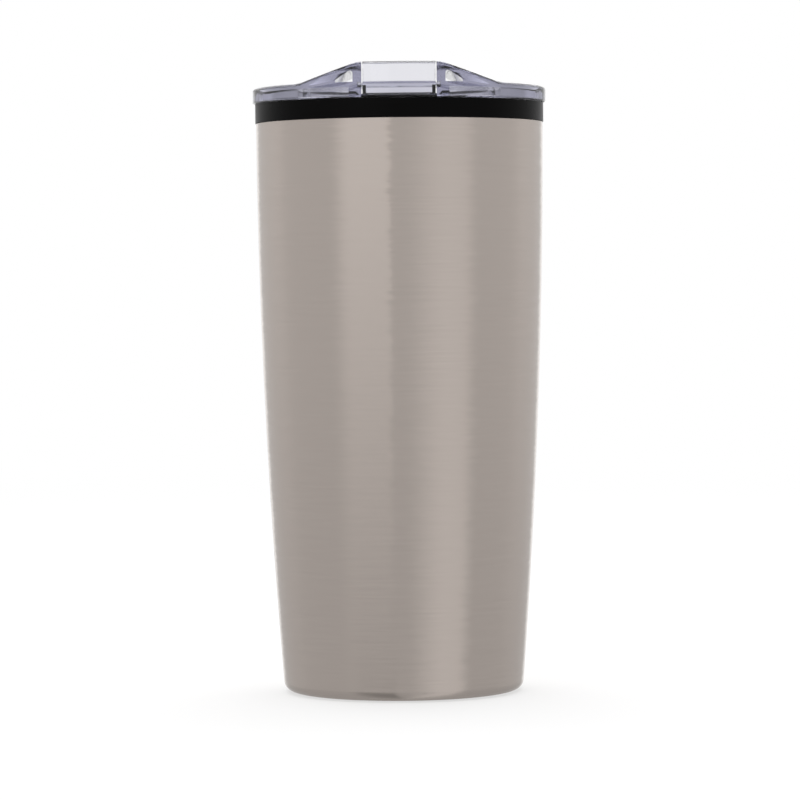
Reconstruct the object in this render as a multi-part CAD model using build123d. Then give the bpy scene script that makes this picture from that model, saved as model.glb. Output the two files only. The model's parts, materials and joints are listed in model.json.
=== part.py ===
from build123d import *
import os

# Insulated travel tumbler. A brushed steel outer shell stands round a black plastic liner with an
# air gap between them, and a clear lid presses into the liner's mouth. A clear slider runs in a
# channel across the raised drinking side of the lid and covers the drinking opening.
#
# Millimetres. +Z is up, -Y is the drinking side, and the origin is the centre of the underside.

# Heights of the stack, from the ground up
FOOT_Z = 0.4                    # the steel foot stands just clear of the ground, on the pad
SHELL_TOP_Z = 172.7
COLLAR_TOP_Z = 178.5
RIM_TOP_Z = 183.1
HUMP_TOP_Z = 188.95

# Outer shell: a drawn tube whose side is one long arc, rolled in at the foot
SHELL_TOP_R = 43.5
SIDE_ARC_R = 2250.0
SIDE_ARC_Z = 181.0              # the height at which the side arc would run vertical
SHELL_WALL = 0.5
FOOT_CORNER_R = 3.0
FOOT_OPENING_R = 31.0
LIP_ROUND = 0.24

# Base cover, which closes the foot, and the pad under it
COVER_FLANGE_R = 33.0
COVER_BOSS_R = 30.8
COVER_BOTTOM_Z = 0.6
COVER_TOP_Z = 2.6
PAD_R = 27.0
PAD_TOP_Z = 1.3
PAD_GAP = 0.2
PAD_EDGE = 0.3
PAD_GROOVES = (9.0, 15.0, 21.0)
PAD_GROOVE_WIDTH = 1.0
PAD_GROOVE_DEPTH = 0.35

# Liner: the inner cup, with the collar that shows between shell and lid
BORE_R = 38.3
BORE_BOTTOM_Z = 166.0
LINER_WALL = 1.7
LINER_FLOOR_R = 29.8            # inside, where the side would meet the floor
LINER_FLOOR_Z = 8.2
LINER_FLOOR_THICK = 2.2
LINER_CORNER_R = 6.0
LINER_BULGE = 1.2               # how far the side arc stands out from a straight taper
FOOT_RING_R = 22.0
FOOT_RING_WALL = 2.0
COLLAR_R = 43.7
COLLAR_THICK = 2.3
COLLAR_ROUND = 0.2
SPIGOT_R = 42.8                 # the skirt that locates the liner inside the shell
SPIGOT_WALL = 1.35
SPIGOT_BOTTOM_Z = 166.5
SEAL_BOTTOM_Z = 168.4
SEAL_HEIGHT = 2.2
SEAL_DEPTH = 0.7
SEAL_GAP = 0.1

# Lid: solid flange, plug, thin floor, and the deck sunk behind the raised drinking side
LID_R = 44.4
LID_EDGE_ROUND = 1.0            # along the rim, and over the front of the raised side
LID_FLOOR_THICK = 1.0
FLANGE_ROUND = 0.6              # under the rim
FLANGE_INNER_R = 31.0           # solid from here out
DECK_THICK = 1.7
DECK_TOP_Z = 177.8
DECK_CORNER_R = 4.0
PLUG_R = 36.4
PLUG_WALL = 1.7
PLUG_BOTTOM_Z = 167.6
PLUG_RIB_R = 37.3
PLUG_RIB_HEIGHT = 1.2
VENT_Y = 25.0
VENT_R = 1.1

# Gasket round the plug
GASKET_BOTTOM_Z = 169.2
GASKET_HEIGHT = 5.8
GASKET_BAND = 1.0
GASKET_LIP_R = 38.2
GASKET_LIP_Z = (170.2, 173.1)
GASKET_LIP_RISE = 0.8
GASKET_LIP_THICK = 0.5

# Raised drinking side of the lid: solid, with the channel, and a pocket each side open at the back
HUMP_BACK_Y = 2.6
HUMP_BACK_ROUND = 1.5
HUMP_TOP_HALF = 12.4
HUMP_FOOT_HALF = 29.8           # where the side slopes reach the rim's level
HUMP_SHOULDER_ROUND = 14.0
HUMP_FOOT_ROUND = 10.0
POCKET_HALF = (13.4, 18.4)      # the pockets' inner side and foot
POCKET_Z = (187.1, 183.8)       # height of the pockets' roof at those two places
POCKET_WALL = 2.0
POCKET_ROUND = 0.8

# Channel for the slider, sunk to the drinking opening, with an undercut along each side
CHANNEL_HALF = 11.0
CHANNEL_FLOOR_Z = 179.2
CHANNEL_WALL = 1.5              # outside the undercuts
UNDERCUT_Z = 182.0
UNDERCUT_DEPTH = 0.8
UNDERCUT_HEIGHT = 1.1
UNDERCUT_Y = (-38.0, 0.0)
DRINK_Y = -30.0
DRINK_WIDTH = 14.5
DRINK_LENGTH = 6.0

# Slider: a plate with an upright front and a low lip at the back. The block under the plate carries
# the seal, a pad with a brake strip standing up at each side.
SLIDER_GAP = 0.3
SLIDER_BACK_Y = -15.8
SLIDER_BLOCK_BACK_Y = -24.5
SLIDER_BLOCK_CORNER_R = 0.5
SLIDER_PLATE_Z = (182.3, 183.3)
SLIDER_FRONT_WALL = 8.0
SLIDER_LIP = 1.2                # the lip's height and thickness
TONGUE_GAP = 0.2
TONGUE_BACK_Y = -17.0
SEAL_LENGTH = 9.6
SEAL_CORNER_R = 0.8
SEAL_PAD_GAP = 0.05
SEAL_POCKET_DEPTH = 0.5
BRAKE_THICK = 1.6               # of the seal's upright strips in the block's sides

BEYOND = 1.0                    # how far cutting tools run past what they cut
TALL = 60.0                     # longer than the lid in any direction


def turned(face):
    """The solid that a face in (radius, height) sweeps about Z."""
    return revolve(Plane.XZ * face, Axis.Z)


def polygon(*points):
    return make_face(Polyline(*points, close=True))


def disc(radius, bottom_z, top_z):
    return extrude(Pos(0, 0, bottom_z) * Circle(radius), top_z - bottom_z)


def tube(outer_r, inner_r, bottom_z, top_z):
    ring = Circle(outer_r) - Circle(inner_r)
    return extrude(Pos(0, 0, bottom_z) * ring, top_z - bottom_z)


def block(half_width, front_y, back_y, bottom_z, top_z):
    """A box centred on X, from its limits in Y and Z."""
    centre = Pos(0, (front_y + back_y) / 2, (bottom_z + top_z) / 2)
    return centre * Box(2 * half_width, back_y - front_y, top_z - bottom_z)


def cup_fill(foot, middle, top, rim_z, corner_r):
    """A filled cup form: flat floor, rounded corner, arc side from foot to top, straight rim."""
    floor_z = foot[1]
    rim = (top[0], rim_z)
    outline = [Line((0, floor_z), foot), ThreePointArc(foot, middle, top)]
    if rim_z > top[1]:
        outline.append(Line(top, rim))
    outline += [Line(rim, (0, rim_z)), Line((0, rim_z), (0, floor_z))]
    face = make_face(outline)
    corner = face.vertices().sort_by_distance((foot[0], foot[1], 0))[0]
    return turned(fillet(corner, corner_r))


def shell_radius(z):
    """Outer radius of the steel side at a height."""
    top_offset = (SIDE_ARC_R**2 - (SHELL_TOP_Z - SIDE_ARC_Z) ** 2) ** 0.5
    offset = (SIDE_ARC_R**2 - (z - SIDE_ARC_Z) ** 2) ** 0.5
    return SHELL_TOP_R + offset - top_offset


def shell_fill(inset, top_z):
    """The shell's outer form, filled and drawn in by inset."""
    bottom_z = FOOT_Z + inset
    points = [(shell_radius(z) - inset, z) for z in (bottom_z, (bottom_z + top_z) / 2, top_z)]
    return cup_fill(*points, top_z, FOOT_CORNER_R - inset)


def outer_shell():
    shell = shell_fill(0, SHELL_TOP_Z) - shell_fill(SHELL_WALL, SHELL_TOP_Z + BEYOND)
    shell -= disc(FOOT_OPENING_R, FOOT_Z - BEYOND, FOOT_Z + SHELL_WALL + BEYOND)
    lip = shell.edges().filter_by(GeomType.CIRCLE).group_by(Axis.Z)[-1]
    return fillet(lip, LIP_ROUND)


def base_cover():
    foot_inside_z = FOOT_Z + SHELL_WALL
    cover = disc(COVER_FLANGE_R, foot_inside_z, COVER_TOP_Z)
    cover += disc(COVER_BOSS_R, COVER_BOTTOM_Z, foot_inside_z)
    return cover - disc(PAD_R + PAD_GAP, COVER_BOTTOM_Z - BEYOND, PAD_TOP_Z)


def base_pad():
    pad = disc(PAD_R, 0, PAD_TOP_Z)
    pad = chamfer(pad.edges().group_by(Axis.Z)[0], PAD_EDGE)
    half = PAD_GROOVE_WIDTH / 2
    for radius in PAD_GROOVES:
        pad -= tube(radius + half, radius - half, -BEYOND, PAD_GROOVE_DEPTH)
    return pad


def liner_fill(inset, top_z):
    """The liner's outer form, filled and drawn in by inset."""
    out = LINER_WALL - inset
    floor_z = LINER_FLOOR_Z - LINER_FLOOR_THICK * out / LINER_WALL
    foot = (LINER_FLOOR_R + out, floor_z)
    top = (BORE_R + out, BORE_BOTTOM_Z)
    middle = ((foot[0] + top[0]) / 2 + LINER_BULGE, (foot[1] + top[1]) / 2)
    return cup_fill(foot, middle, top, top_z, LINER_CORNER_R + out)


def collar():
    """The liner's turned-over mouth: the band that shows, and the spigot inside the shell."""
    inner_r = BORE_R + LINER_WALL / 2
    under_z = COLLAR_TOP_Z - COLLAR_THICK
    spigot_inner_r = SPIGOT_R - SPIGOT_WALL
    face = polygon(
        (inner_r, COLLAR_TOP_Z),
        (COLLAR_R, COLLAR_TOP_Z),
        (COLLAR_R, SHELL_TOP_Z),
        (SPIGOT_R, SHELL_TOP_Z),
        (SPIGOT_R, SPIGOT_BOTTOM_Z),
        (spigot_inner_r, SPIGOT_BOTTOM_Z),
        (spigot_inner_r, under_z),
        (inner_r, under_z),
    )
    top_corner = face.vertices().sort_by_distance((COLLAR_R, COLLAR_TOP_Z, 0))[0]
    band = turned(fillet(top_corner, COLLAR_ROUND))
    return band - tube(
        SPIGOT_R + BEYOND, SPIGOT_R - SEAL_DEPTH, SEAL_BOTTOM_Z, SEAL_BOTTOM_Z + SEAL_HEIGHT
    )


def liner():
    cup = liner_fill(0, COLLAR_TOP_Z)
    under_floor_z = LINER_FLOOR_Z - LINER_FLOOR_THICK / 2
    foot_ring = tube(FOOT_RING_R, FOOT_RING_R - FOOT_RING_WALL, COVER_TOP_Z, under_floor_z)
    return cup + collar() + foot_ring - liner_fill(LINER_WALL, COLLAR_TOP_Z + BEYOND)


def shell_seal():
    bottom_z = SEAL_BOTTOM_Z + SEAL_GAP
    top_z = SEAL_BOTTOM_Z + SEAL_HEIGHT - SEAL_GAP
    return tube(SPIGOT_R + SEAL_GAP / 2, SPIGOT_R - SEAL_DEPTH, bottom_z, top_z)


def hump_section():
    """Cross-section of the raised side: level top, sloped sides, and the rim's level beyond them."""
    face = polygon(
        (-TALL, COLLAR_TOP_Z),
        (-TALL, RIM_TOP_Z),
        (-HUMP_FOOT_HALF, RIM_TOP_Z),
        (-HUMP_TOP_HALF, HUMP_TOP_Z),
        (HUMP_TOP_HALF, HUMP_TOP_Z),
        (HUMP_FOOT_HALF, RIM_TOP_Z),
        (TALL, RIM_TOP_Z),
        (TALL, COLLAR_TOP_Z),
    )
    for side in (-1, 1):
        shoulder = face.vertices().sort_by_distance((side * HUMP_TOP_HALF, HUMP_TOP_Z, 0))[0]
        face = fillet(shoulder, HUMP_SHOULDER_ROUND)
        foot = face.vertices().sort_by_distance((side * HUMP_FOOT_HALF, RIM_TOP_Z, 0))[0]
        face = fillet(foot, HUMP_FOOT_ROUND)
    return face


def hump():
    """The raised drinking side, filled and unbounded, with an upright back rounded at the top."""
    sides = extrude(Plane.XZ * hump_section(), TALL, both=True)
    profile = polygon(
        (-TALL, COLLAR_TOP_Z),
        (-TALL, HUMP_TOP_Z),
        (HUMP_BACK_Y, HUMP_TOP_Z),
        (HUMP_BACK_Y, COLLAR_TOP_Z),
    )
    corner = profile.vertices().sort_by_distance((HUMP_BACK_Y, HUMP_TOP_Z, 0))[0]
    profile = fillet(corner, HUMP_BACK_ROUND)
    return sides & extrude(Plane.YZ * profile, TALL, both=True)


def lid_form():
    """Flange and raised side in one filled form, its top edge rounded all the way round."""
    slab = block(TALL, -TALL, TALL, COLLAR_TOP_Z, RIM_TOP_Z)
    form = (slab + hump()) & disc(LID_R, COLLAR_TOP_Z, HUMP_TOP_Z)
    side = form.faces().filter_by(GeomType.CYLINDER).sort_by(SortBy.AREA)[-1]
    top_edge = side.edges().filter_by(lambda edge: edge.center().Z > RIM_TOP_Z - BEYOND)
    form = fillet(top_edge, LID_EDGE_ROUND)
    return fillet(form.edges().group_by(Axis.Z)[0], FLANGE_ROUND)


def hump_pockets():
    """The two hollows beside the channel, open at the back."""
    inner, foot = POCKET_HALF
    inner_z, foot_z = POCKET_Z
    face = polygon((inner, RIM_TOP_Z), (inner, inner_z), (foot, foot_z), (foot, RIM_TOP_Z))
    corner = face.vertices().sort_by_distance((inner, inner_z, 0))[0]
    face = fillet(corner, POCKET_ROUND)
    pocket = Pos(0, HUMP_BACK_Y + BEYOND, 0) * extrude(Plane.XZ * face, TALL)
    pocket &= disc(LID_R - POCKET_WALL, COLLAR_TOP_Z, HUMP_TOP_Z)
    return pocket + mirror(pocket, Plane.YZ)


def behind_hump(radius, front_y):
    """The part of a circle that lies behind front_y, as a sketch."""
    return Circle(radius) & Pos(0, front_y + TALL) * Rectangle(2 * TALL, 2 * TALL)


def deck():
    """The sunk floor behind the hump, filled up to the rim, and the void over it."""
    outer = behind_hump(FLANGE_INNER_R + DECK_THICK, HUMP_BACK_Y - DECK_THICK)
    inner = behind_hump(FLANGE_INNER_R, HUMP_BACK_Y)
    inner = fillet(inner.vertices(), DECK_CORNER_R)
    bottom_z = DECK_TOP_Z - DECK_THICK
    fill = extrude(Pos(0, 0, bottom_z) * outer, RIM_TOP_Z - bottom_z)
    void = extrude(Pos(0, 0, DECK_TOP_Z) * inner, HUMP_TOP_Z - DECK_TOP_Z)
    return fill, void


def channel_void():
    """The slider's channel, open at both ends, with its undercuts."""
    above_z = HUMP_TOP_Z + BEYOND
    back_y = HUMP_BACK_Y + BEYOND
    channel = block(CHANNEL_HALF, -LID_R - BEYOND, back_y, CHANNEL_FLOOR_Z, above_z)
    undercut_half = CHANNEL_HALF + UNDERCUT_DEPTH
    return channel + block(undercut_half, *UNDERCUT_Y, UNDERCUT_Z, UNDERCUT_Z + UNDERCUT_HEIGHT)


def plug():
    """The wall that fits the liner's bore, with a rib below and above the gasket."""
    wall = tube(PLUG_R, PLUG_R - PLUG_WALL, PLUG_BOTTOM_Z, COLLAR_TOP_Z)
    gasket_top_z = GASKET_BOTTOM_Z + GASKET_HEIGHT
    for bottom_z in (GASKET_BOTTOM_Z - PLUG_RIB_HEIGHT, gasket_top_z):
        wall += tube(PLUG_RIB_R, PLUG_R - PLUG_WALL / 2, bottom_z, bottom_z + PLUG_RIB_HEIGHT)
    return wall


def lid_room():
    """The hollow under the lid's floor, to each side of the channel."""
    top_z = RIM_TOP_Z - LID_FLOOR_THICK
    half = CHANNEL_HALF + UNDERCUT_DEPTH + CHANNEL_WALL
    room = disc(FLANGE_INNER_R, COLLAR_TOP_Z - BEYOND, top_z)
    return room - block(half, -LID_R, HUMP_BACK_Y, COLLAR_TOP_Z, top_z)


def lid_body():
    deck_fill, deck_void = deck()
    body = lid_form() - lid_room() + plug() + deck_fill
    body = body - deck_void - hump_pockets() - channel_void()
    drink = SlotOverall(DRINK_WIDTH, DRINK_LENGTH)
    body -= extrude(Pos(0, DRINK_Y, COLLAR_TOP_Z) * drink, HUMP_TOP_Z - COLLAR_TOP_Z)
    return body - Pos(0, VENT_Y, 0) * disc(VENT_R, PLUG_BOTTOM_Z, COLLAR_TOP_Z)


def lid_gasket():
    """A band with two lips that lean up and out to the liner's bore."""
    gasket = tube(PLUG_R + GASKET_BAND, PLUG_R, GASKET_BOTTOM_Z, GASKET_BOTTOM_Z + GASKET_HEIGHT)
    root_r = PLUG_R + GASKET_BAND / 2
    for lip_z in GASKET_LIP_Z:
        tip_z = lip_z + GASKET_LIP_RISE
        gasket += turned(
            polygon(
                (root_r, lip_z),
                (GASKET_LIP_R, tip_z),
                (GASKET_LIP_R, tip_z + GASKET_LIP_THICK),
                (root_r, tip_z + GASKET_LIP_THICK),
            )
        )
    return gasket


def seal(bottom_z):
    """The pad under the block, and the strip that stands up from it at each side."""
    half = CHANNEL_HALF - SLIDER_GAP
    pad_top_z = CHANNEL_FLOOR_Z + SLIDER_GAP + SEAL_POCKET_DEPTH
    outline = RectangleRounded(2 * half, SEAL_LENGTH, SEAL_CORNER_R)
    form = extrude(Pos(0, DRINK_Y, bottom_z) * outline, SLIDER_PLATE_Z[0] - bottom_z)
    return form - block(half - BRAKE_THICK, -LID_R, 0, pad_top_z, HUMP_TOP_Z)


def slider_form():
    """Plate and block filled to the slider's full height, the front following the lid's."""
    bottom_z = CHANNEL_FLOOR_Z + SLIDER_GAP
    face = polygon((0, bottom_z), (LID_R, bottom_z), (LID_R, HUMP_TOP_Z), (0, HUMP_TOP_Z))
    corner = face.vertices().sort_by_distance((LID_R, HUMP_TOP_Z, 0))[0]
    round_front = turned(fillet(corner, LID_EDGE_ROUND))
    half = CHANNEL_HALF - SLIDER_GAP
    carrier = block(half, -LID_R, SLIDER_BLOCK_BACK_Y, bottom_z, HUMP_TOP_Z)
    back_corners = carrier.edges().filter_by(Axis.Z).group_by(Axis.Y)[-1]
    carrier = fillet(back_corners, SLIDER_BLOCK_CORNER_R)
    plate = block(half, -LID_R, SLIDER_BACK_Y, SLIDER_PLATE_Z[0], HUMP_TOP_Z)
    return round_front & (carrier + plate)


def finger_space():
    """The room above the plate, behind the upright front and over the lip."""
    plate_top_z = SLIDER_PLATE_Z[1]
    top_z = HUMP_TOP_Z + BEYOND
    lip_front_y = SLIDER_BACK_Y - SLIDER_LIP
    space = block(CHANNEL_HALF, -LID_R, lip_front_y, plate_top_z, top_z)
    space += block(CHANNEL_HALF, -LID_R, SLIDER_BACK_Y + BEYOND, plate_top_z + SLIDER_LIP, top_z)
    return space & disc(LID_R - SLIDER_FRONT_WALL, plate_top_z, top_z)


def slider():
    tongues = block(
        CHANNEL_HALF + UNDERCUT_DEPTH - TONGUE_GAP,
        UNDERCUT_Y[0] + TONGUE_GAP,
        TONGUE_BACK_Y,
        UNDERCUT_Z + SLIDER_GAP,
        UNDERCUT_Z + UNDERCUT_HEIGHT - TONGUE_GAP,
    )
    return slider_form() - finger_space() + tongues - seal(CHANNEL_FLOOR_Z)


def slider_seal():
    return seal(CHANNEL_FLOOR_Z + SEAL_PAD_GAP)


NODES = {
    "outer_shell": outer_shell,
    "base_cover": base_cover,
    "base_pad": base_pad,
    "liner": liner,
    "shell_seal": shell_seal,
    "lid_body": lid_body,
    "lid_gasket": lid_gasket,
    "slider": slider,
    "slider_seal": slider_seal,
}

os.makedirs("parts", exist_ok=True)
for name, make in NODES.items():
    export_step(make(), f"parts/{name}.step")
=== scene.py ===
import json
import math

import bpy
from mathutils import Matrix, Vector

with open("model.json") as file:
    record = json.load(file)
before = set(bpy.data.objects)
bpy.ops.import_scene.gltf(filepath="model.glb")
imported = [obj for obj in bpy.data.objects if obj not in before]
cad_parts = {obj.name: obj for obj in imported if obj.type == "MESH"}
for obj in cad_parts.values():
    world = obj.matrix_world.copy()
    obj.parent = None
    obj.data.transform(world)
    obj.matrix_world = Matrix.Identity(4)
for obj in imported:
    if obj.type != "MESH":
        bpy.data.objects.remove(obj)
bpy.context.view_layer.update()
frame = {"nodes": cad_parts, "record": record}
nodes = frame["nodes"]

# Camera, in metres and degrees. It stands in front of the drinking side, a little below the lid.
CAMERA_DISTANCE = 1.148
CAMERA_HEIGHT = 0.1246
CAMERA_X = -0.0005
CAMERA_PITCH_DOWN = 1.80
CAMERA_ROLL = 0.487
CAMERA_LENS = 169.84
CAMERA_SENSOR = 36.0
CAMERA_CLIP = (0.01, 200.0)

# Finish
NOISE_LOW, NOISE_HIGH = 0.3, 0.7        # the span in which nearly all of the noise lies
STEEL_LEAN = 0.016              # how far the brushing tilts the steel sideways, patch by patch
PLASTIC_IOR = 1.49
SILICONE_IOR = 1.41
RUBBER_IOR = 1.45
SMOKE_TINT = (0.50, 0.50, 0.62, 1.0)
SMOKE_DENSITY = 56.0            # per metre, of the light that the tint holds back
PAINTED_SHADE_X = 0.0091                # the slider seal is painted black from here out, as painted shade for the dark lines along the slider's sides, metres from the middle
PAINTED_SHADE_BLUR = 0.00005            # width of the change from milky to the painted black shade

# Stage
FLOOR_RADIUS = 60.0
FLOOR_NEAR = 0.25
FLOOR_FAR = 1.4
FLOOR_GLOW = 0.6                # share of plain white in the floor next to the object
FLOOR_COLOUR = (0.90, 0.90, 0.90, 1)
WHITE = (1, 1, 1, 1)

# The studio round the object. Bearings are in degrees from the camera's side, positive towards +X.
# Each soft panel is lighter or darker than the walls by one amount above the table and another below it.
WALLS_ABOVE = 0.65
WALLS_BELOW = 0.45
SOFT_PANELS = [                 # (from, to, softness of the two sides, above, below)
    (-50, -8, 10, 2, 0.35, -0.20),      # key panel, left of the camera, hung clear of the table
    (20, 60, 20, 8, 0.10, 0.25),        # wide fill panel on the right, down to the table
]
BACK_PANEL_LIFT = 0.35          # how much lighter the wall straight behind the object is
BACK_PANEL_REACH = (0.90, 0.97)         # how far back it begins, as a part of the direction's length
PANEL_HORIZON = -0.01           # sine of the elevation where the lower brightness begins to mix in
PANEL_BELOW = -0.26             # and where it is all there is
BACK_GLOW = 1.2                 # how much brighter the softbox above and behind the object is
BACK_GLOW_RISE = (0.15, 0.35)   # sine of the elevation at its lower edge
BACK_GLOW_REACH = (0.25, 0.55)  # how far back its near edge is, as a part of the direction's length
OVERHEAD_PLACE = (0.0, 0.2, 1.3)
OVERHEAD_SIZE = 1.2
OVERHEAD_POWER = 9.0


# Node helpers


def new_material(name):
    material = bpy.data.materials.new(name)
    material.use_nodes = True
    tree = material.node_tree
    tree.nodes.clear()
    return material, tree


def add(tree, kind, **values):
    """A node of that kind, with its sockets or properties set by name."""
    node = tree.nodes.new(kind)
    for key, value in values.items():
        socket = node.inputs.get(key.replace("_", " "))
        if socket is None:
            setattr(node, key, value)
        else:
            socket.default_value = value
    return node


def join(tree, source, target):
    tree.links.new(source, target)


def grain(tree, scale, detail=2.0, roughness=0.5):
    """3-D noise in object space, scaled separately along X, Y and Z (per metre)."""
    place = add(tree, "ShaderNodeTexCoord")
    stretch = add(tree, "ShaderNodeMapping", Scale=scale)
    join(tree, place.outputs["Object"], stretch.inputs["Vector"])
    noise = add(tree, "ShaderNodeTexNoise", Scale=1.0, Detail=detail, Roughness=roughness)
    join(tree, stretch.outputs["Vector"], noise.inputs["Vector"])
    return noise.outputs["Fac"]


def spread(tree, value, low, high, from_low=NOISE_LOW, from_high=NOISE_HIGH):
    """value mapped from its usual span to low..high."""
    node = add(tree, "ShaderNodeMapRange")
    node.inputs["From Min"].default_value = from_low
    node.inputs["From Max"].default_value = from_high
    node.inputs["To Min"].default_value = low
    node.inputs["To Max"].default_value = high
    join(tree, value, node.inputs["Value"])
    return node.outputs["Result"]


def blend_colours(tree, value, low, high):
    """low to high over the noise's usual span."""
    ramp = add(tree, "ShaderNodeValToRGB")
    ramp.color_ramp.elements[0].position = NOISE_LOW
    ramp.color_ramp.elements[0].color = (*low, 1)
    ramp.color_ramp.elements[1].position = NOISE_HIGH
    ramp.color_ramp.elements[1].color = (*high, 1)
    join(tree, value, ramp.inputs["Fac"])
    return ramp.outputs["Color"]


def bump(tree, height, distance, strength=1.0, normal=None):
    node = add(tree, "ShaderNodeBump", Strength=strength, Distance=distance)
    join(tree, height, node.inputs["Height"])
    if normal is not None:
        join(tree, normal, node.inputs["Normal"])
    return node.outputs["Normal"]


def lean(tree, value, direction, amount):
    """The surface's normal, leaning along direction by up to amount either way as the noise varies."""
    surface = add(tree, "ShaderNodeNewGeometry")
    scaled = add(tree, "ShaderNodeVectorMath", operation="SCALE")
    join(tree, direction, scaled.inputs[0])
    join(tree, spread(tree, value, -amount, amount), scaled.inputs["Scale"])
    total = add(tree, "ShaderNodeVectorMath", operation="ADD")
    join(tree, surface.outputs["Normal"], total.inputs[0])
    join(tree, scaled.outputs["Vector"], total.inputs[1])
    unit = add(tree, "ShaderNodeVectorMath", operation="NORMALIZE")
    join(tree, total.outputs["Vector"], unit.inputs[0])
    return unit.outputs["Vector"]


def finish_material(tree, shader, volume=None):
    output = add(tree, "ShaderNodeOutputMaterial")
    join(tree, shader.outputs[0], output.inputs["Surface"])
    if volume is not None:
        join(tree, volume.outputs[0], output.inputs["Volume"])


# Materials


def steel_material():
    """Stainless steel brushed round the body: fine hoop lines over soft uneven patches."""
    material, tree = new_material("brushed_stainless")
    shader = add(tree, "ShaderNodeBsdfPrincipled")
    shader.inputs["Metallic"].default_value = 1.0
    shader.inputs["Anisotropic"].default_value = 1.0
    shader.inputs["Anisotropic Rotation"].default_value = 0.25
    tangent = add(tree, "ShaderNodeTangent")
    tangent.direction_type = "RADIAL"
    tangent.axis = "Z"
    join(tree, tangent.outputs["Tangent"], shader.inputs["Tangent"])
    lines = grain(tree, (60, 60, 4200), detail=3.0, roughness=0.6)
    patches = grain(tree, (110, 110, 800), detail=2.0)
    colour = blend_colours(tree, lines, (0.616, 0.547, 0.500), (0.644, 0.573, 0.524))
    join(tree, colour, shader.inputs["Base Color"])
    join(tree, spread(tree, lines, 0.215, 0.245), shader.inputs["Roughness"])
    normal = lean(tree, patches, tangent.outputs["Tangent"], STEEL_LEAN)
    normal = bump(tree, lines, 0.000003, 0.3, normal)
    join(tree, normal, shader.inputs["Normal"])
    finish_material(tree, shader)
    return material


def black_plastic_material():
    """Satin moulded polypropylene with a fine spark-eroded grain."""
    material, tree = new_material("black_polypropylene")
    shader = add(tree, "ShaderNodeBsdfPrincipled", IOR=PLASTIC_IOR)
    shader.inputs["Specular IOR Level"].default_value = 0.06
    fine = grain(tree, (2200, 2200, 2200), detail=3.0)
    wide = grain(tree, (60, 60, 60), detail=2.0)
    colour = blend_colours(tree, wide, (0.0012, 0.0011, 0.0011), (0.0024, 0.0022, 0.0022))
    join(tree, colour, shader.inputs["Base Color"])
    join(tree, spread(tree, wide, 0.26, 0.34), shader.inputs["Roughness"])
    join(tree, bump(tree, fine, 0.00001, 0.4), shader.inputs["Normal"])
    finish_material(tree, shader)
    return material


def clear_plastic_material():
    """Polished clear plastic with a faint cool smoke tint, and the slight waviness of a moulding."""
    material, tree = new_material("clear_smoke_plastic")
    shader = add(tree, "ShaderNodeBsdfPrincipled", IOR=PLASTIC_IOR)
    shader.inputs["Transmission Weight"].default_value = 1.0
    shader.inputs["Base Color"].default_value = WHITE
    wide = grain(tree, (160, 160, 160), detail=2.0)
    join(tree, spread(tree, wide, 0.01, 0.04), shader.inputs["Roughness"])
    join(tree, bump(tree, wide, 0.00003, 0.3), shader.inputs["Normal"])
    volume = add(tree, "ShaderNodeVolumeAbsorption", Density=SMOKE_DENSITY)
    volume.inputs["Color"].default_value = SMOKE_TINT
    finish_material(tree, shader, volume)
    return material


def silicone_material():
    """Frosted translucent silicone."""
    material, tree = new_material("frosted_silicone")
    shader = add(tree, "ShaderNodeBsdfPrincipled", IOR=SILICONE_IOR)
    shader.inputs["Transmission Weight"].default_value = 0.9
    wide = grain(tree, (90, 90, 90), detail=2.0)
    colour = blend_colours(tree, wide, (0.86, 0.87, 0.88), (0.92, 0.93, 0.94))
    join(tree, colour, shader.inputs["Base Color"])
    join(tree, spread(tree, wide, 0.18, 0.26), shader.inputs["Roughness"])
    fine = grain(tree, (1800, 1800, 1800), detail=2.0)
    join(tree, bump(tree, fine, 0.00001, 0.6), shader.inputs["Normal"])
    finish_material(tree, shader)
    return material


def seal_material():
    """Soft silicone: a milky pad, with black painted at each side as painted shade for the dark lines
    along the slider's sides.
    """
    material, tree = new_material("seal_silicone")
    shader = add(tree, "ShaderNodeBsdfPrincipled", IOR=SILICONE_IOR)
    place = add(tree, "ShaderNodeTexCoord")
    parts = add(tree, "ShaderNodeSeparateXYZ")
    join(tree, place.outputs["Object"], parts.inputs[0])
    reach = add(tree, "ShaderNodeMath", operation="ABSOLUTE")
    join(tree, parts.outputs["X"], reach.inputs[0])
    # the black beyond this distance from the middle is painted shade, not the silicone's own colour
    step = spread(tree, reach.outputs[0], NOISE_LOW, NOISE_HIGH, PAINTED_SHADE_X - PAINTED_SHADE_BLUR, PAINTED_SHADE_X)
    colour = blend_colours(tree, step, (0.80, 0.81, 0.82), (0.010, 0.010, 0.012))
    join(tree, colour, shader.inputs["Base Color"])
    wide = grain(tree, (90, 90, 90), detail=2.0)
    join(tree, spread(tree, wide, 0.38, 0.50), shader.inputs["Roughness"])
    fine = grain(tree, (1800, 1800, 1800), detail=2.0)
    join(tree, bump(tree, fine, 0.00001, 0.6), shader.inputs["Normal"])
    finish_material(tree, shader)
    return material


def pad_material():
    """Soft black silicone rubber, a little dusty where it meets the table."""
    material, tree = new_material("pad_rubber")
    shader = add(tree, "ShaderNodeBsdfPrincipled", IOR=RUBBER_IOR)
    wide = grain(tree, (120, 120, 120), detail=4.0)
    colour = blend_colours(tree, wide, (0.022, 0.022, 0.023), (0.040, 0.040, 0.041))
    join(tree, colour, shader.inputs["Base Color"])
    join(tree, spread(tree, wide, 0.62, 0.82), shader.inputs["Roughness"])
    fine = grain(tree, (1500, 1500, 1500), detail=3.0)
    join(tree, bump(tree, fine, 0.00003, 0.7), shader.inputs["Normal"])
    finish_material(tree, shader)
    return material


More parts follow.
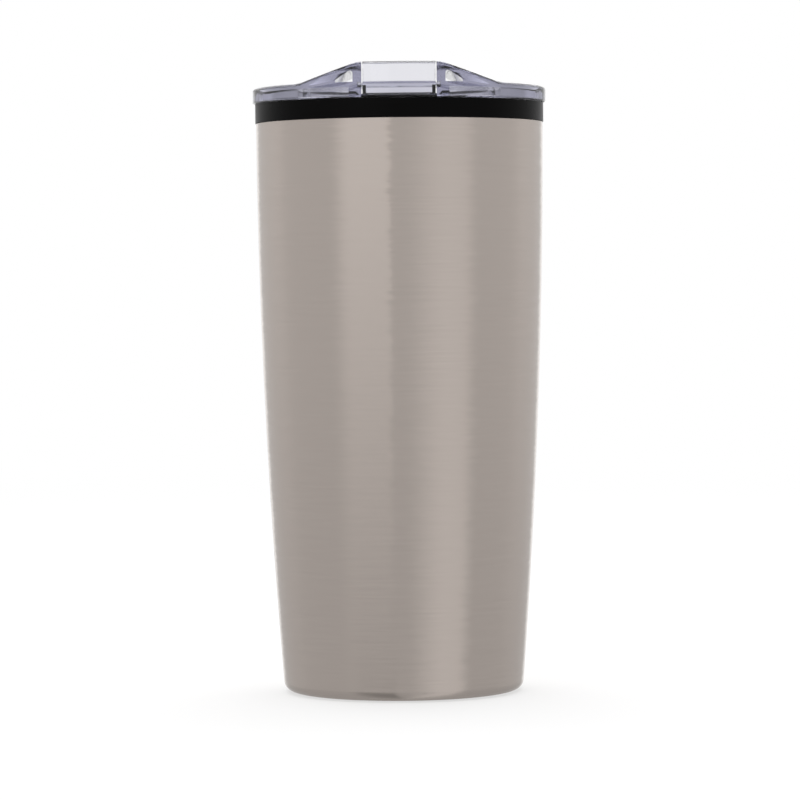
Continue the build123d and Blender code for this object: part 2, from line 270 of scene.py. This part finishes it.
def dress_nodes():
    makers = {
        "steel": steel_material,
        "black_plastic": black_plastic_material,
        "clear_plastic": clear_plastic_material,
        "silicone": silicone_material,
        "seal_silicone": seal_material,
        "pad_rubber": pad_material,
    }
    finishes = {slot: make() for slot, make in makers.items()}
    for part in frame["record"]["subparts"]:
        for holder in nodes[part["node"]].material_slots:
            holder.material = finishes[part["material_slot"]]


# Studio


def floor_material():
    """Pale lit floor that fades to plain white away from the object. It is there for the camera only,
    so the steel and the clear lid show the studio below the horizon and not the floor."""
    material, tree = new_material("stage_floor")
    diffuse = add(tree, "ShaderNodeBsdfDiffuse")
    diffuse.inputs["Color"].default_value = FLOOR_COLOUR
    white = add(tree, "ShaderNodeEmission", Strength=1.0)
    place = add(tree, "ShaderNodeTexCoord")
    reach = add(tree, "ShaderNodeVectorMath", operation="LENGTH")
    join(tree, place.outputs["Object"], reach.inputs[0])
    fade = add(tree, "ShaderNodeMapRange", interpolation_type="SMOOTHSTEP")
    fade.inputs["From Min"].default_value = FLOOR_NEAR
    fade.inputs["From Max"].default_value = FLOOR_FAR
    fade.inputs["To Min"].default_value = FLOOR_GLOW
    join(tree, reach.outputs["Value"], fade.inputs["Value"])
    lit = add(tree, "ShaderNodeMixShader")
    join(tree, fade.outputs["Result"], lit.inputs[0])
    join(tree, diffuse.outputs[0], lit.inputs[1])
    join(tree, white.outputs[0], lit.inputs[2])
    clear = add(tree, "ShaderNodeBsdfTransparent")
    path = add(tree, "ShaderNodeLightPath")
    mix = add(tree, "ShaderNodeMixShader")
    join(tree, path.outputs["Is Camera Ray"], mix.inputs[0])
    join(tree, clear.outputs[0], mix.inputs[1])
    join(tree, lit.outputs[0], mix.inputs[2])
    finish_material(tree, mix)
    return material


def make_floor():
    mesh = bpy.data.meshes.new("stage_floor")
    r = FLOOR_RADIUS
    mesh.from_pydata([(-r, -r, 0), (r, -r, 0), (r, r, 0), (-r, r, 0)], [], [(0, 1, 2, 3)])
    mesh.materials.append(floor_material())
    floor = bpy.data.objects.new("stage_floor", mesh)
    bpy.context.scene.collection.objects.link(floor)


def edge(tree, value, start, end):
    """0 below start, 1 above end, and smooth between them."""
    node = add(tree, "ShaderNodeMapRange", interpolation_type="SMOOTHSTEP")
    node.inputs["From Min"].default_value = start
    node.inputs["From Max"].default_value = end
    join(tree, value, node.inputs["Value"])
    return node.outputs[0]


def combine(tree, operation, *values):
    """A Math node on values that are sockets or numbers."""
    node = add(tree, "ShaderNodeMath", operation=operation)
    for socket, value in zip(node.inputs, values):
        if isinstance(value, (int, float)):
            socket.default_value = value
        else:
            join(tree, value, socket)
    return node.outputs[0]


def soft_panel(tree, bearing, start, end, start_soft, end_soft):
    """1 between the two bearings and 0 outside them, with soft sides."""
    rise = edge(tree, bearing, math.radians(start - start_soft), math.radians(start + start_soft))
    past = edge(tree, bearing, math.radians(end - end_soft), math.radians(end + end_soft))
    return combine(tree, "MULTIPLY", rise, combine(tree, "SUBTRACT", 1.0, past))


def make_world():
    """White behind the object, and pale walls with soft panels that light it and show in the steel."""
    world = bpy.data.worlds.new("studio")
    bpy.context.scene.world = world
    world.use_nodes = True
    tree = world.node_tree
    tree.nodes.clear()
    place = add(tree, "ShaderNodeTexCoord")
    parts = add(tree, "ShaderNodeSeparateXYZ")
    join(tree, place.outputs["Generated"], parts.inputs[0])
    right, back, up = (parts.outputs[axis] for axis in "XYZ")
    bearing = combine(tree, "ARCTAN2", right, combine(tree, "MULTIPLY", back, -1.0))
    straight_back = edge(tree, back, *BACK_PANEL_REACH)
    above = combine(tree, "MULTIPLY_ADD", straight_back, BACK_PANEL_LIFT, WALLS_ABOVE)
    below = combine(tree, "MULTIPLY_ADD", straight_back, BACK_PANEL_LIFT, WALLS_BELOW)
    for start, end, start_soft, end_soft, more_above, more_below in SOFT_PANELS:
        panel = soft_panel(tree, bearing, start, end, start_soft, end_soft)
        above = combine(tree, "MULTIPLY_ADD", panel, more_above, above)
        below = combine(tree, "MULTIPLY_ADD", panel, more_below, below)
    height = edge(tree, up, PANEL_BELOW, PANEL_HORIZON)
    difference = combine(tree, "SUBTRACT", above, below)
    level = combine(tree, "MULTIPLY_ADD", height, difference, below)
    glow = combine(tree, "MULTIPLY", edge(tree, up, *BACK_GLOW_RISE), edge(tree, back, *BACK_GLOW_REACH))
    lift = combine(tree, "MULTIPLY_ADD", glow, BACK_GLOW, 1.0)
    panels = add(tree, "ShaderNodeBackground")
    join(tree, combine(tree, "MULTIPLY", level, lift), panels.inputs["Strength"])
    panels.inputs["Color"].default_value = WHITE
    backdrop = add(tree, "ShaderNodeBackground", Strength=1.0)
    backdrop.inputs["Color"].default_value = WHITE
    path = add(tree, "ShaderNodeLightPath")
    mix = add(tree, "ShaderNodeMixShader")
    join(tree, path.outputs["Is Camera Ray"], mix.inputs[0])
    join(tree, panels.outputs[0], mix.inputs[1])
    join(tree, backdrop.outputs[0], mix.inputs[2])
    output = add(tree, "ShaderNodeOutputWorld")
    join(tree, mix.outputs[0], output.inputs["Surface"])


def make_overhead_light():
    data = bpy.data.lights.new("overhead", "AREA")
    data.shape = "SQUARE"
    data.size = OVERHEAD_SIZE
    data.energy = OVERHEAD_POWER
    light = bpy.data.objects.new("overhead", data)
    bpy.context.scene.collection.objects.link(light)
    light.location = OVERHEAD_PLACE
    light.rotation_mode = "QUATERNION"
    light.rotation_quaternion = (-Vector(OVERHEAD_PLACE)).to_track_quat("-Z", "Y")


def make_camera():
    data = bpy.data.cameras.new("camera")
    data.sensor_width = CAMERA_SENSOR
    data.lens = CAMERA_LENS
    data.clip_start, data.clip_end = CAMERA_CLIP
    camera = bpy.data.objects.new("camera", data)
    bpy.context.scene.collection.objects.link(camera)
    tilt = Matrix.Rotation(math.radians(90 - CAMERA_PITCH_DOWN), 4, "X")
    roll = Matrix.Rotation(math.radians(-CAMERA_ROLL), 4, "Z")
    place = Matrix.Translation((CAMERA_X, -CAMERA_DISTANCE, CAMERA_HEIGHT))
    camera.matrix_world = place @ tilt @ roll
    bpy.context.scene.camera = camera


dress_nodes()
make_floor()
make_world()
make_overhead_light()
make_camera()
bpy.context.scene.view_settings.view_transform = "Standard"
